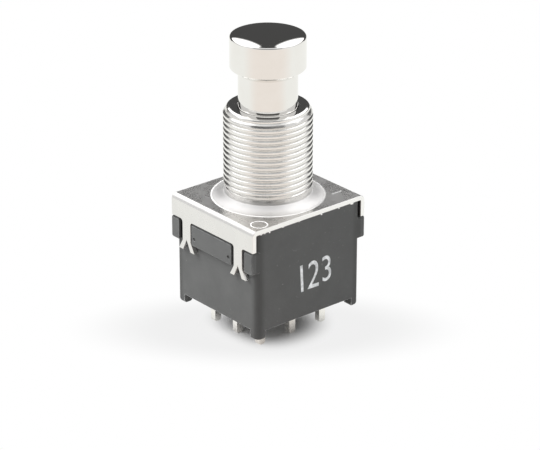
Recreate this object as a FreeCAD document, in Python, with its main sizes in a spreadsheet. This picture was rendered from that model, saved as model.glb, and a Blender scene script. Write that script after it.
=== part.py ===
import FreeCAD, Part

import math
import os
import re

import Sketcher

# Three-pole latching stomp switch, in millimetres. Every piece is drawn from the top face of the
# frame plate, with +Z up along the threaded bushing and -Y towards the printed side of the housing.
# The finished pieces are then set so that the origin is on the raised collar that meets the panel.

SIZES = {
    # Frame plate, folded from sheet
    "frame_sheet": 0.65,
    "frame_gap": 0.15,
    "fold_inside": 0.14,
    "skirt_drop": 3.05,
    "leg_spacing": 10.84,
    "leg_width": 1.7,
    "leg_spread": 3.3,
    "leg_tip": 0.85,
    "leg_flare_start": 0.2,
    "leg_flare_length": 1.4,
    "leg_fork_depth": 1.62,
    "leg_root": 0.4,
    "collar_height": 0.9,
    "collar_rim": 0.08,
    "collar_spread": 1.62,
    "collar_flare": 2.6,
    "collar_wall": 0.42,

    # Threaded bushing
    "thread_diameter": 12.0,
    "bushing_rise": 12.8,
    "bushing_chamfer": 0.5,
    "spigot_step": 0.4,
    "flange_reach": 0.8,
    "flange_thickness": 0.6,
    "flange_ease": 0.3,
    "lip_rise": 1.3,
    "lip_thickness": 1.0,
    "counterbore_diameter": 7.8,
    "bore_chamfer": 0.12,

    # Plunger, turned in one piece
    "cap_inset": 0.9,
    "cap_stand_off": 1.75,
    "cap_thickness": 4.3,
    "cap_dome": 0.45,
    "cap_edge": 0.3,
    "cap_taper": 0.8,
    "stem_diameter": 8.0,
    "stem_clearance": 0.07,
    "guide_length": 4.2,
    "tail_diameter": 5.0,
    "tail_clearance": 0.08,
    "tail_land": 0.45,
    "stroke": 3.8,

    # Retaining ring and return spring
    "ring_clearance": 0.3,
    "ring_thickness": 0.5,
    "ring_groove_depth": 0.4,
    "ring_mouth": 3.0,
    "ring_gap": 0.05,
    "return_wire": 0.44,
    "return_clearance": 0.47,
    "return_turns": 4.0,

    # Pawl in the plunger's tail
    "pawl_length": 6.0,
    "pawl_nose": 1.0,
    "pawl_thickness": 1.8,
    "pawl_shank": 1.2,
    "pawl_taper": 1.65,
    "pawl_neck": 1.24,
    "pawl_hub": 2.3,
    "pawl_hub_drop": 0.57,
    "pawl_hub_rise": 0.38,
    "pawl_top": 0.95,
    "pawl_top_gap": 0.25,
    "pawl_flat": 0.9,
    "pawl_side_gap": 0.06,
    "pawl_pin_diameter": 1.2,
    "pawl_pin_inset": 0.15,
    "pin_clearance": 0.04,
    "centring_bore": 1.9,
    "centring_bore_depth": 3.0,
    "centring_clearance": 0.1,
    "centring_wire": 0.26,
    "centring_turns": 3.0,

    # Toggle cam, rocking on two trunnions
    "cam_tilt": 14.0,
    "cam_tail_gap": 0.13,
    "cam_end_gap": 0.6,
    "cam_width": 2.8,
    "cam_top": 0.9,
    "cam_drop": 3.2,
    "cam_head_length": 3.2,
    "cam_head_width": 6.0,
    "cam_head_rise": 2.0,
    "cam_head_under": 0.45,
    "notch_reach": 1.6,
    "notch_rise": 1.75,
    "notch_clearance": 0.06,
    "notch_lead": 0.3,
    "ridge_slope": 36.9,
    "ridge_rise": 2.05,
    "ridge_flat": 0.5,
    "trunnion_diameter": 1.5,
    "trunnion_seat": 0.65,
    "trunnion_clearance": 0.05,

    # Sprung contact pins in the cam
    "pole_pitch": 5.36,
    "contact_pin_diameter": 1.6,
    "contact_pin_play": 0.05,
    "contact_pin_top": 1.6,
    "contact_pin_proud": 1.68,
    "contact_bore_top": 0.4,
    "contact_coil_clearance": 0.1,
    "contact_wire": 0.22,
    "contact_turns": 3.0,
    "contact_gap": 0.03,

    # Contact rockers, pressed from strip
    "rocker_strip": 0.3,
    "rocker_width": 3.0,
    "rocker_overhang": 0.8,
    "rocker_tilt": 8.0,
    "rocker_valley_width": 2.6,
    "rocker_crest": 0.55,
    "rocker_crest_reach": 1.75,
    "rocker_arm_rise": 0.25,
    "waist_clearance": 0.1,
    "waist_play": 0.3,

    # Terminals, stamped and pressed through the floor
    "terminal_pitch": 4.7,
    "terminal_width": 1.1,
    "terminal_stock": 0.9,
    "terminal_length": 4.1,
    "terminal_chamfer": 0.2,
    "knife_width": 3.4,
    "horn_width": 0.5,
    "horn_rise": 0.55,
    "pad_width": 2.4,
    "pad_stock": 0.6,
    "pad_land": 0.7,
    "rivet_inset": 0.7,
    "rivet_head": 1.6,
    "rivet_shank": 0.8,
    "rivet_rise": 0.35,

    # Housing, moulded with an open top
    "pole_margin": 2.34,
    "throw_margin": 2.55,
    "housing_corner": 0.8,
    "wall_thickness": 1.3,
    "floor_thickness": 2.0,
    "foot_across": 1.4,
    "foot_along": 1.55,
    "foot_height": 1.3,
    "foot_round": 0.45,
    "block_proud": 0.12,
    "block_height": 3.15,
    "block_leg_gap": 0.265,
    "block_outer_gap": 0.505,
    "block_end_step": 0.03,
    "block_corner": 0.35,
    "block_chamfer": 0.15,
    "block_clearance": 0.05,
    "pip_diameter": 0.5,
    "pip_height": 0.12,
    "pip_inset": 0.68,
    "pip_rise": 1.1,
    "partition_thickness": 0.8,
    "partition_height": 2.0,

    # Cam retainer under the frame plate
    "retainer_thickness": 1.0,
    "retainer_opening_gap": 0.3,
    "retainer_clearance": 0.1,
    "retainer_gap": 0.03,
    "post_clearance": 0.2,
}

doc = FreeCAD.newDocument("StompSwitch")
sheet = doc.addObject("Spreadsheet::Sheet", "Sizes")
for row, (alias, value) in enumerate(SIZES.items(), start=1):
    sheet.set(f"A{row}", alias)
    sheet.set(f"B{row}", str(value))
    sheet.setAlias(f"B{row}", alias)
doc.recompute()


# Two places closer than this, in millimetres, are the same place
SAME = 1e-6


# Sizes in expressions


def in_sheet(expression):
    """The expression with each size's name turned into a reference to its cell."""
    def cell(word):
        return f"Sizes.{word[0]}" if word[0] in SIZES else word[0]
    return re.sub(r"[a-z_]+", cell, expression)


def number(expression):
    """What an expression of sizes comes to now."""
    result = sheet.evalExpression(in_sheet(expression))
    return float(getattr(result, "Value", result))


def bind(item, path, expression):
    """Tie one property of an object to the sheet."""
    item.setExpression(path, in_sheet(expression))


# Bodies, sketches and features


def new_body(label, height="0", across="0", along="0", tilt=None):
    """An empty body. Its place is measured from the plate's top face, and tilt turns it about X."""
    body = doc.addObject("PartDesign::Body", label)
    body.Label = label
    bind(body, "Placement.Base.x", across)
    bind(body, "Placement.Base.y", along)
    bind(body, "Placement.Base.z", f"{height} - collar_height")
    if tilt:
        body.Placement.Rotation = FreeCAD.Rotation(FreeCAD.Vector(1, 0, 0), 1)
        bind(body, "Placement.Rotation.Angle", tilt)
    return body


def origin_plane(body, role):
    return next(item for item in body.Origin.OriginFeatures if item.Role == role)


def new_sketch(body, name, plane, offset="0"):
    """A sketch on one of the body's own planes, moved along the plane's normal."""
    sketch = body.newObject("Sketcher::SketchObject", name)
    sketch.AttachmentSupport = [(origin_plane(body, f"{plane}_Plane"), "")]
    sketch.MapMode = "FlatFace"
    bind(sketch, "AttachmentOffset.Base.z", offset)
    return sketch


def fix_point(sketch, geometry, end, x, y):
    """Hold one point of a sketch at a place given by two expressions."""
    for kind, expression in (("DistanceX", x), ("DistanceY", y)):
        distance = number(expression)
        index = sketch.addConstraint(Sketcher.Constraint(kind, -1, 1, geometry, end, distance))
        bind(sketch, f"Constraints[{index}]", expression)


def arc_through(start, finish, radius):
    """The short arc between two points, turning left for a positive radius and right for a negative one."""
    chord = finish - start
    middle = (start + finish) * 0.5
    rise = math.sqrt(max(radius * radius - chord.Length ** 2 / 4, 0.0))
    left = FreeCAD.Vector(-chord.y, chord.x, 0).normalize()
    side = 1 if radius > 0 else -1
    crown = middle + left * side * (rise - abs(radius))
    return Part.Arc(start, crown, finish)


def outline(sketch, corners):
    """A closed outline. A third value on a corner is the radius of the arc that arrives there."""
    first = sketch.GeometryCount
    points = [FreeCAD.Vector(number(c[0]), number(c[1]), 0) for c in corners]
    starts = []
    for index, corner in enumerate(corners):
        start = points[index - 1]
        finish = points[index]
        if len(corner) == 3:
            sketch.addGeometry(arc_through(start, finish, number(corner[2])), False)
        else:
            sketch.addGeometry(Part.LineSegment(start, finish), False)
        geometry = first + index
        forward = (sketch.getPoint(geometry, 1) - start).Length < SAME
        starts.append((1, 2) if forward else (2, 1))
    for index, corner in enumerate(corners):
        following = (index + 1) % len(corners)
        sketch.addConstraint(Sketcher.Constraint(
            "Coincident", first + index, starts[index][1], first + following, starts[following][0]))
        fix_point(sketch, first + index, starts[index][1], corner[0], corner[1])
        if len(corner) == 3:
            radius = sketch.addConstraint(
                Sketcher.Constraint("Radius", first + index, abs(number(corner[2]))))
            bind(sketch, f"Constraints[{radius}]", f"abs({corner[2]})")


def rectangle(sketch, left, low, right, high):
    outline(sketch, [(left, low), (right, low), (right, high), (left, high)])


def rounded_rectangle(sketch, left, low, right, high, radius):
    outline(sketch, [
        (left, f"{low} + {radius}"), (f"{left} + {radius}", low, radius),
        (f"{right} - {radius}", low), (right, f"{low} + {radius}", radius),
        (right, f"{high} - {radius}"), (f"{right} - {radius}", high, radius),
        (f"{left} + {radius}", high), (left, f"{high} - {radius}", radius),
    ])


def circle(sketch, x, y, radius):
    centre = FreeCAD.Vector(number(x), number(y), 0)
    geometry = sketch.addGeometry(
        Part.Circle(centre, FreeCAD.Vector(0, 0, 1), number(radius)), False)
    fix_point(sketch, geometry, 3, x, y)
    index = sketch.addConstraint(Sketcher.Constraint("Radius", geometry, number(radius)))
    bind(sketch, f"Constraints[{index}]", radius)


def pad(body, sketch, length, reverse=False, both_ways=False):
    feature = body.newObject("PartDesign::Pad", f"{sketch.Name}Pad")
    feature.Profile = sketch
    feature.Midplane = both_ways
    feature.Reversed = reverse
    bind(feature, "Length", length)
    doc.recompute()
    return feature


def pocket(body, sketch, depth, reverse=False, both_ways=False):
    """Cut a sketch into the body, and make sure that the cut takes something away."""
    before = body.Shape.Volume
    feature = body.newObject("PartDesign::Pocket", f"{sketch.Name}Pocket")
    feature.Profile = sketch
    feature.Midplane = both_ways
    feature.Reversed = reverse
    bind(feature, "Length", depth)
    doc.recompute()
    if body.Shape.Volume > before - SAME:
        raise ValueError(f"{feature.Name} cuts nothing")
    return feature


def revolve(body, sketch):
    feature = body.newObject("PartDesign::Revolution", f"{sketch.Name}Turned")
    feature.Profile = sketch
    feature.ReferenceAxis = (sketch, ["V_Axis"])
    feature.Angle = 360
    doc.recompute()
    return feature


def round_edges(body, feature, name, radius, wanted):
    """Fillet the edges whose middle point passes the test."""
    edges = [
        f"Edge{index}" for index, edge in enumerate(feature.Shape.Edges, start=1)
        if wanted(edge.CenterOfMass, edge)
    ]
    fillet = body.newObject("PartDesign::Fillet", name)
    fillet.Base = (feature, edges)
    bind(fillet, "Radius", radius)
    doc.recompute()
    return fillet


def chamfer_edges(body, feature, name, size, wanted):
    """Chamfer the edges whose middle point passes the test."""
    edges = [
        f"Edge{index}" for index, edge in enumerate(feature.Shape.Edges, start=1)
        if wanted(edge.CenterOfMass, edge)
    ]
    chamfer = body.newObject("PartDesign::Chamfer", name)
    chamfer.Base = (feature, edges)
    bind(chamfer, "Size", size)
    doc.recompute()
    return chamfer


def mirror(body, name, features, plane):
    feature = body.newObject("PartDesign::Mirrored", name)
    feature.Originals = features
    feature.MirrorPlane = (origin_plane(body, f"{plane}_Plane"), [""])
    body.Tip = feature
    doc.recompute()
    return feature


def runs_along(edge, axis):
    """Whether a straight edge is parallel to an axis."""
    ends = edge.Vertexes
    if len(ends) != 2:
        return False
    step = ends[1].Point - ends[0].Point
    return abs(abs(step.normalize().dot(axis)) - 1) < SAME


ALONG_X = FreeCAD.Vector(1, 0, 0)
ALONG_Y = FreeCAD.Vector(0, 1, 0)
ALONG_Z = FreeCAD.Vector(0, 0, 1)


def coil_spring(body, coil, wire, low, high, turns):
    """Helical spring of square wire, between two seats."""
    sketch = new_sketch(body, f"{body.Name}Wire", "XZ")
    mean = f"(({coil}) - ({wire})) / 2"
    corners = []
    for across, up in (("-", "-"), ("+", "-"), ("+", "+"), ("-", "+")):
        corners.append((f"{mean} {across} {wire} / 2", f"{low} + {wire} / 2 {up} {wire} / 2"))
    outline(sketch, corners)
    feature = body.newObject("PartDesign::AdditiveHelix", f"{body.Name}Coil")
    feature.Profile = sketch
    feature.ReferenceAxis = (sketch, ["V_Axis"])
    feature.Mode = "height-turns-angle"
    bind(feature, "Turns", turns)
    bind(feature, "Height", f"({high}) - ({low}) - {wire}")
    doc.recompute()
    return feature


# Sizes that follow from others. The mechanism's stack, from the stroke down to the terminals, sets
# how deep the housing is, and the poles and throws set its width and depth.

COLLAR_TOP = "(thread_diameter / 2 + collar_rim)"
COLLAR_FOOT = f"({COLLAR_TOP} + collar_spread)"
SPIGOT = "(thread_diameter / 2 - spigot_step)"
FLANGE = f"({SPIGOT} + flange_reach)"
FLANGE_FOOT = "(-frame_sheet - flange_thickness)"
BORE = "(stem_diameter / 2 + stem_clearance)"
SHOULDER = "(bushing_rise - guide_length)"
CAP_UNDERSIDE = "(bushing_rise + stroke + cap_stand_off)"
RING_TOP = "(lip_rise - ring_gap)"
RING_GROOVE = "(tail_diameter / 2 - ring_groove_depth)"
TAIL_END = f"({RING_TOP} - ring_thickness - tail_land)"

HOUSING_WIDTH = "(2 * (pole_pitch + pole_margin + wall_thickness))"
HOUSING_DEPTH = "(2 * (terminal_pitch + throw_margin + wall_thickness))"
FRAME_WIDTH = f"({HOUSING_WIDTH} + 2 * frame_gap + 2 * frame_sheet)"
BLOCK_DROP = "(skirt_drop + block_clearance + block_height)"
LEG_FLARE = f"({BLOCK_DROP} - leg_flare_start)"
LEG_DROP = f"({LEG_FLARE} + leg_flare_length)"

CAM_HEAD_CORNER = "(cam_head_rise * cos(cam_tilt) + cam_head_width / 2 * sin(cam_tilt))"
CAM_AXIS = f"(stroke - {TAIL_END} + cam_tail_gap + {CAM_HEAD_CORNER})"
CAM_LENGTH = f"({HOUSING_WIDTH} - 2 * wall_thickness - 2 * cam_end_gap)"
TRUNNION_REACH = f"({HOUSING_WIDTH} - 2 * wall_thickness + 2 * trunnion_seat)"
PAWL_REACH = "(pawl_length - pawl_nose / 2)"
PRESSED_NOTCH_Y = "(notch_reach * cos(cam_tilt) + notch_rise * sin(cam_tilt))"
PRESSED_NOTCH_Z = f"(notch_rise * cos(cam_tilt) - notch_reach * sin(cam_tilt) - {CAM_AXIS})"
PAWL_SWING = f"asin({PRESSED_NOTCH_Y} / {PAWL_REACH})"
PAWL_AXIS = f"({PRESSED_NOTCH_Z} + {PAWL_REACH} * cos({PAWL_SWING}) + stroke)"
PAWL_SLOT_TOP = f"({PAWL_AXIS} + pawl_top + pawl_top_gap)"

PIN_REACH = "(cam_drop + contact_pin_proud)"
PIN_BORE = "(contact_pin_diameter + 2 * contact_pin_play)"
ROCKER_PIVOT = f"(-{CAM_AXIS} - {PIN_REACH} - rocker_strip - contact_gap)"
RIVET_REACH = "(terminal_pitch - rivet_inset)"
PIVOT_OVER_RIVET = (f"({RIVET_REACH} * sin(rocker_tilt) - rocker_arm_rise * cos(rocker_tilt)"
                    " + contact_gap)")
FLOOR = f"({ROCKER_PIVOT} - {PIVOT_OVER_RIVET} - rivet_rise - pad_stock)"
HOUSING_DROP = f"(floor_thickness - {FLOOR})"
TERMINAL_DROP = f"({HOUSING_DROP} + terminal_length)"

# The valley that a contact pin slides in has the radius that keeps the same gap to the pin's round
# end at the middle and at both ends of the cam's tilt.

PIN_END = "(contact_pin_diameter / 2)"
PIN_END_Y = f"(({PIN_REACH} - {PIN_END}) * sin(cam_tilt))"
PIN_END_Z = f"(-{CAM_AXIS} - {ROCKER_PIVOT} - ({PIN_REACH} - {PIN_END}) * cos(cam_tilt))"
VALLEY_STACK = f"(rocker_strip + {PIN_END} + contact_gap)"
VALLEY_LEAN = f"({PIN_END_Y} * sin(rocker_tilt) + {PIN_END_Z} * cos(rocker_tilt))"
VALLEY = (f"(({PIN_END_Y} ^ 2 + {PIN_END_Z} ^ 2 - {VALLEY_STACK} ^ 2)"
          f" / (2 * ({VALLEY_LEAN} - {VALLEY_STACK})) - rocker_strip)")


# Frame plate: a U of sheet with a raised collar round the bushing and four crimped legs


def make_frame_plate():
    body = new_body("frame_plate")
    side = f"({FRAME_WIDTH} / 2)"
    inside = f"({FRAME_WIDTH} / 2 - frame_sheet)"

    section = new_sketch(body, "FrameSection", "XZ")
    outline(section, [
        (f"-{side}", "-skirt_drop"), (f"-{side}", "0"),
        (side, "0"), (side, "-skirt_drop"),
        (inside, "-skirt_drop"), (inside, "-frame_sheet"),
        (f"-{inside}", "-frame_sheet"), (f"-{inside}", "-skirt_drop"),
    ])
    sheet_u = pad(body, section, HOUSING_DEPTH, both_ways=True)
    outer = round_edges(
        body, sheet_u, "FoldOutside", "fold_inside + frame_sheet",
        lambda middle, edge: runs_along(edge, ALONG_Y) and middle.z > -SAME)
    inner = round_edges(
        body, outer, "FoldInside", "fold_inside",
        lambda middle, edge: runs_along(edge, ALONG_Y)
        and abs(middle.z + number("frame_sheet")) < SAME
        and abs(abs(middle.x) - number(inside)) < SAME)
    body.Tip = inner

    opening = new_sketch(body, "CollarOpening", "XY")
    circle(opening, "0", "0", f"{COLLAR_FOOT} - frame_sheet")
    pocket(body, opening, "frame_sheet")

    collar = new_sketch(body, "Collar", "XZ")
    under = "(collar_height - frame_sheet)"
    outline(collar, [
        (SPIGOT, "collar_height"), (SPIGOT, under), (COLLAR_TOP, under),
        (f"{COLLAR_FOOT} - collar_wall", "-frame_sheet"),
        (COLLAR_FOOT, "-frame_sheet"), (COLLAR_FOOT, "0"),
        (COLLAR_TOP, "collar_height", "-collar_flare"),
    ])
    revolve(body, collar)

    legs = new_sketch(body, "Legs", "YZ", inside)
    for hand in ("-1", "1"):
        middle = f"{hand} * leg_spacing / 2"
        outline(legs, [
            (f"{middle} - leg_width / 2", "-skirt_drop"),
            (f"{middle} - leg_width / 2", f"-{LEG_FLARE}"),
            (f"{middle} - leg_spread / 2", f"-{LEG_DROP}"),
            (f"{middle} - leg_spread / 2 + leg_tip", f"-{LEG_DROP}"),
            (middle, f"leg_fork_depth - {LEG_DROP}"),
            (f"{middle} + leg_spread / 2 - leg_tip", f"-{LEG_DROP}"),
            (f"{middle} + leg_spread / 2", f"-{LEG_DROP}"),
            (f"{middle} + leg_width / 2", f"-{LEG_FLARE}"),
            (f"{middle} + leg_width / 2", "-skirt_drop"),
        ])
    leg_pad = pad(body, legs, "frame_sheet")
    both_sides = mirror(body, "LegsOtherSide", [leg_pad], "YZ")
    skirt_edge = -number("skirt_drop")
    skirt_end = number(f"{HOUSING_DEPTH} / 2")
    roots = round_edges(
        body, both_sides, "LegRoots", "leg_root",
        lambda middle, edge: runs_along(edge, ALONG_X) and abs(middle.z - skirt_edge) < SAME
        and abs(middle.y) < skirt_end - SAME)
    body.Tip = roots
    return body


# Bushing: threaded outside, shouldered on the collar and rolled out below it, with a lip inside
# near its foot that carries the return spring


def make_bushing():
    body = new_body("bushing")
    profile = new_sketch(body, "BushingProfile", "XZ")
    outer = "thread_diameter / 2"
    tail_hole = "tail_diameter / 2 + tail_clearance"
    under = "(collar_height - frame_sheet)"
    outline(profile, [
        ("counterbore_diameter / 2", FLANGE_FOOT),
        (FLANGE, FLANGE_FOOT), (FLANGE, "-frame_sheet"),
        (f"{COLLAR_TOP} - flange_ease", under), (SPIGOT, under),
        (SPIGOT, "collar_height"), (outer, "collar_height"),
        (outer, "bushing_rise - bushing_chamfer"),
        (f"{outer} - bushing_chamfer", "bushing_rise"),
        (f"{BORE} + bore_chamfer", "bushing_rise"),
        (BORE, "bushing_rise - bore_chamfer"),
        (BORE, "lip_rise + lip_thickness"),
        (tail_hole, "lip_rise + lip_thickness"), (tail_hole, "lip_rise"),
        ("counterbore_diameter / 2", "lip_rise"),
    ])
    revolve(body, profile)
    return body


# Plunger: cap, guided stem and slotted tail in one turned piece


def make_plunger():
    body = new_body("plunger")
    profile = new_sketch(body, "PlungerProfile", "XZ")
    cap = "(thread_diameter / 2 - cap_inset)"
    rim = f"({CAP_UNDERSIDE} + cap_thickness)"
    stem = "stem_diameter / 2"
    tail = "tail_diameter / 2"
    dome = f"((({cap} - cap_edge) ^ 2 + cap_dome ^ 2) / (2 * cap_dome))"
    outline(profile, [
        ("0", TAIL_END), (tail, TAIL_END),
        (tail, f"{RING_TOP} - ring_thickness"), (RING_GROOVE, f"{RING_TOP} - ring_thickness"),
        (RING_GROOVE, RING_TOP), (tail, RING_TOP),
        (tail, SHOULDER), (stem, SHOULDER),
        (stem, f"{CAP_UNDERSIDE} - cap_taper"), (cap, CAP_UNDERSIDE),
        (cap, f"{rim} - cap_edge"), (f"{cap} - cap_edge", rim),
        ("0", f"{rim} + cap_dome", dome),
    ])
    revolve(body, profile)

    slot = new_sketch(body, "PawlSlot", "XZ")
    half = "(pawl_thickness / 2 + pawl_side_gap)"
    rectangle(slot, f"-{half}", f"{TAIL_END} - tail_land", half, PAWL_SLOT_TOP)
    pocket(body, slot, "2 * tail_diameter", both_ways=True)

    bore = new_sketch(body, "CentringBore", "XY", PAWL_SLOT_TOP)
    circle(bore, "0", "0", "centring_bore / 2")
    pocket(body, bore, "centring_bore_depth", reverse=True)

    cross = new_sketch(body, "PawlPinHole", "YZ")
    circle(cross, "0", PAWL_AXIS, "pawl_pin_diameter / 2")
    pocket(body, cross, "2 * tail_diameter", both_ways=True)
    return body


def make_retaining_ring():
    body = new_body("retaining_ring", f"{RING_TOP} - ring_thickness")
    ring = new_sketch(body, "RetainingRing", "XY")
    circle(ring, "0", "0", "counterbore_diameter / 2 - ring_clearance")
    circle(ring, "0", "0", RING_GROOVE)
    pad(body, ring, "ring_thickness")
    mouth = new_sketch(body, "RingMouth", "XY")
    rectangle(mouth, "0", "-ring_mouth / 2", "counterbore_diameter", "ring_mouth / 2")
    pocket(body, mouth, "ring_thickness", reverse=True)
    return body


def make_return_spring():
    body = new_body("return_spring", "lip_rise + lip_thickness")
    coil_spring(body, f"2 * ({BORE} - return_clearance)", "return_wire", "0",
                f"{SHOULDER} - lip_rise - lip_thickness", "return_turns")
    return body


# Pawl: swings on a cross pin in the tail, held upright by a small spring on its flat top


def make_pawl():
    body = new_body("pawl", PAWL_AXIS)
    shape = new_sketch(body, "PawlOutline", "YZ")
    nose = "pawl_nose / 2"
    hub = "pawl_hub / 2"
    shank = "pawl_shank / 2"
    flat = "pawl_flat / 2"
    outline(shape, [
        ("0", "-pawl_length", nose), (nose, f"-{PAWL_REACH}", nose),
        (shank, f"pawl_taper - {PAWL_REACH}"), (shank, "-pawl_neck"),
        (hub, "-pawl_hub_drop"), (hub, "pawl_hub_rise"),
        (flat, "pawl_top"), (f"-{flat}", "pawl_top"),
        (f"-{hub}", "pawl_hub_rise"), (f"-{hub}", "-pawl_hub_drop"),
        (f"-{shank}", "-pawl_neck"), (f"-{shank}", f"pawl_taper - {PAWL_REACH}"),
        (f"-{nose}", f"-{PAWL_REACH}"),
    ])
    pad(body, shape, "pawl_thickness", both_ways=True)
    hole = new_sketch(body, "PawlHole", "YZ")
    circle(hole, "0", "0", "pawl_pin_diameter / 2 + pin_clearance")
    pocket(body, hole, "2 * pawl_thickness", both_ways=True)
    return body


def make_pawl_pin():
    body = new_body("pawl_pin", PAWL_AXIS)
    pin = new_sketch(body, "PawlPin", "YZ")
    circle(pin, "0", "0", "pawl_pin_diameter / 2")
    pad(body, pin, "tail_diameter - 2 * pawl_pin_inset", both_ways=True)
    return body


def make_centring_spring():
    low = f"({PAWL_AXIS} + pawl_top + centring_clearance)"
    body = new_body("centring_spring", low)
    coil_spring(body, "centring_bore - 2 * centring_clearance", "centring_wire", "0",
                f"{PAWL_SLOT_TOP} + centring_bore_depth - {low}", "centring_turns")
    return body


# Toggle cam: two notches and a ridge above the trunnions, three spring bores below


def make_toggle_cam():
    body = new_body("toggle_cam", f"-{CAM_AXIS}", tilt="cam_tilt")
    bar = new_sketch(body, "CamBar", "YZ")
    half = "cam_width / 2"
    rectangle(bar, f"-{half}", "-cam_drop", half, "cam_top")
    pad(body, bar, CAM_LENGTH, both_ways=True)

    head = new_sketch(body, "CamHead", "YZ")
    wing = "cam_head_width / 2"
    seat = "(pawl_nose / 2 + notch_clearance)"
    ridge = "ridge_flat / 2"
    slope_y = f"{seat} * cos(ridge_slope)"
    slope_z = f"{seat} * sin(ridge_slope)"
    outline(head, [
        (f"-{half}", "-cam_top"), (half, "-cam_top"),
        (wing, "cam_head_under"), (wing, "cam_head_rise"),
        (f"notch_reach + {seat} + notch_lead", "cam_head_rise"),
        (f"notch_reach + {seat}", "notch_rise"),
        ("notch_reach", f"notch_rise - {seat}", f"-{seat}"),
        (f"notch_reach - {slope_y}", f"notch_rise - {slope_z}", f"-{seat}"),
        (ridge, "ridge_rise"), (f"-{ridge}", "ridge_rise"),
        (f"-notch_reach + {slope_y}", f"notch_rise - {slope_z}"),
        ("-notch_reach", f"notch_rise - {seat}", f"-{seat}"),
        (f"-notch_reach - {seat}", "notch_rise", f"-{seat}"),
        (f"-notch_reach - {seat} - notch_lead", "cam_head_rise"),
        (f"-{wing}", "cam_head_rise"), (f"-{wing}", "cam_head_under"),
    ])
    pad(body, head, "cam_head_length", both_ways=True)

    trunnion = new_sketch(body, "Trunnions", "YZ")
    circle(trunnion, "0", "0", "trunnion_diameter / 2")
    pad(body, trunnion, TRUNNION_REACH, both_ways=True)

    bores = new_sketch(body, "ContactBores", "XY", "-cam_drop")
    for pole in (-1, 0, 1):
        circle(bores, f"{pole} * pole_pitch", "0", f"{PIN_BORE} / 2")
    pocket(body, bores, "cam_drop + contact_bore_top", reverse=True)
    return body


# Contact pins: round-ended plungers that the cam carries, each on its own spring


def make_contact_pin(pole):
    body = new_body(f"contact_pin_{pole + 2}", f"-{CAM_AXIS}", f"{pole} * pole_pitch",
                    tilt="cam_tilt")
    profile = new_sketch(body, f"ContactPin{pole + 2}", "XZ")
    outline(profile, [
        ("0", f"-{PIN_REACH}"), (PIN_END, f"-{PIN_REACH} + {PIN_END}", PIN_END),
        (PIN_END, "-contact_pin_top"), ("0", "-contact_pin_top"),
    ])
    revolve(body, profile)
    return body


def make_contact_spring(pole):
    body = new_body(f"contact_spring_{pole + 2}", f"-{CAM_AXIS}", f"{pole} * pole_pitch",
                    tilt="cam_tilt")
    coil_spring(body, f"{PIN_BORE} - 2 * contact_coil_clearance", "contact_wire", "-contact_pin_top",
                "contact_bore_top", "contact_turns")
    return body


# Contact rocker: a see-saw of strip whose waist drops between the horns of the common terminal


def make_contact_rocker(pole):
    body = new_body(f"contact_rocker_{pole + 2}", ROCKER_PIVOT, f"{pole} * pole_pitch",
                    tilt="-rocker_tilt")
    shape = new_sketch(body, f"RockerSection{pole + 2}", "YZ")
    lip = "rocker_valley_width / 2"
    rise = f"({VALLEY} - sqrt({VALLEY} ^ 2 - ({lip}) ^ 2))"
    crest = "rocker_crest_reach"
    end = f"({RIVET_REACH} + rocker_overhang)"
    outline(shape, [
        (f"-{end}", "rocker_arm_rise"), (f"-{crest}", "rocker_crest"), (f"-{lip}", rise),
        ("0", "0", VALLEY), (lip, rise, VALLEY),
        (crest, "rocker_crest"), (end, "rocker_arm_rise"),
        (end, "rocker_arm_rise + rocker_strip"), (crest, "rocker_crest + rocker_strip"),
        (lip, f"{rise} + rocker_strip"), ("0", "rocker_strip", f"-{VALLEY}"),
        (f"-{lip}", f"{rise} + rocker_strip", f"-{VALLEY}"),
        (f"-{crest}", "rocker_crest + rocker_strip"),
        (f"-{end}", "rocker_arm_rise + rocker_strip"),
    ])
    pad(body, shape, "rocker_width", both_ways=True)

    waist = new_sketch(body, f"RockerWaist{pole + 2}", "XY")
    waist_half = "(knife_width / 2 - horn_width - waist_clearance)"
    waist_end = "(terminal_stock / 2 + waist_play)"
    for hand in ("-1", "1"):
        rectangle(waist, f"{hand} * {waist_half}", f"-{waist_end}",
                  f"{hand} * rocker_width", waist_end)
    pocket(body, waist, "4 * rocker_crest", both_ways=True)
    return body


# Terminals: flat blades that stand on the housing floor and come out below as solder pins


def make_common_terminal(pole):
    body = new_body(f"common_terminal_{pole + 2}", "0", f"{pole} * pole_pitch")
    blade = new_sketch(body, f"CommonBlade{pole + 2}", "XZ")
    pin = "terminal_width / 2"
    shoulder = "knife_width / 2"
    inner = "(knife_width / 2 - horn_width)"
    knife = f"({ROCKER_PIVOT} - contact_gap)"
    outline(blade, [
        (f"-{pin}", f"-{TERMINAL_DROP} + terminal_chamfer"),
        (f"-{pin} + terminal_chamfer", f"-{TERMINAL_DROP}"),
        (f"{pin} - terminal_chamfer", f"-{TERMINAL_DROP}"),
        (pin, f"-{TERMINAL_DROP} + terminal_chamfer"), (pin, FLOOR),
        (shoulder, FLOOR), (shoulder, f"{knife} + horn_rise"),
        (inner, f"{knife} + horn_rise"), (inner, knife),
        (f"-{inner}", knife), (f"-{inner}", f"{knife} + horn_rise"),
        (f"-{shoulder}", f"{knife} + horn_rise"), (f"-{shoulder}", FLOOR),
        (f"-{pin}", FLOOR),
    ])
    pad(body, blade, "terminal_stock", both_ways=True)
    return body


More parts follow.
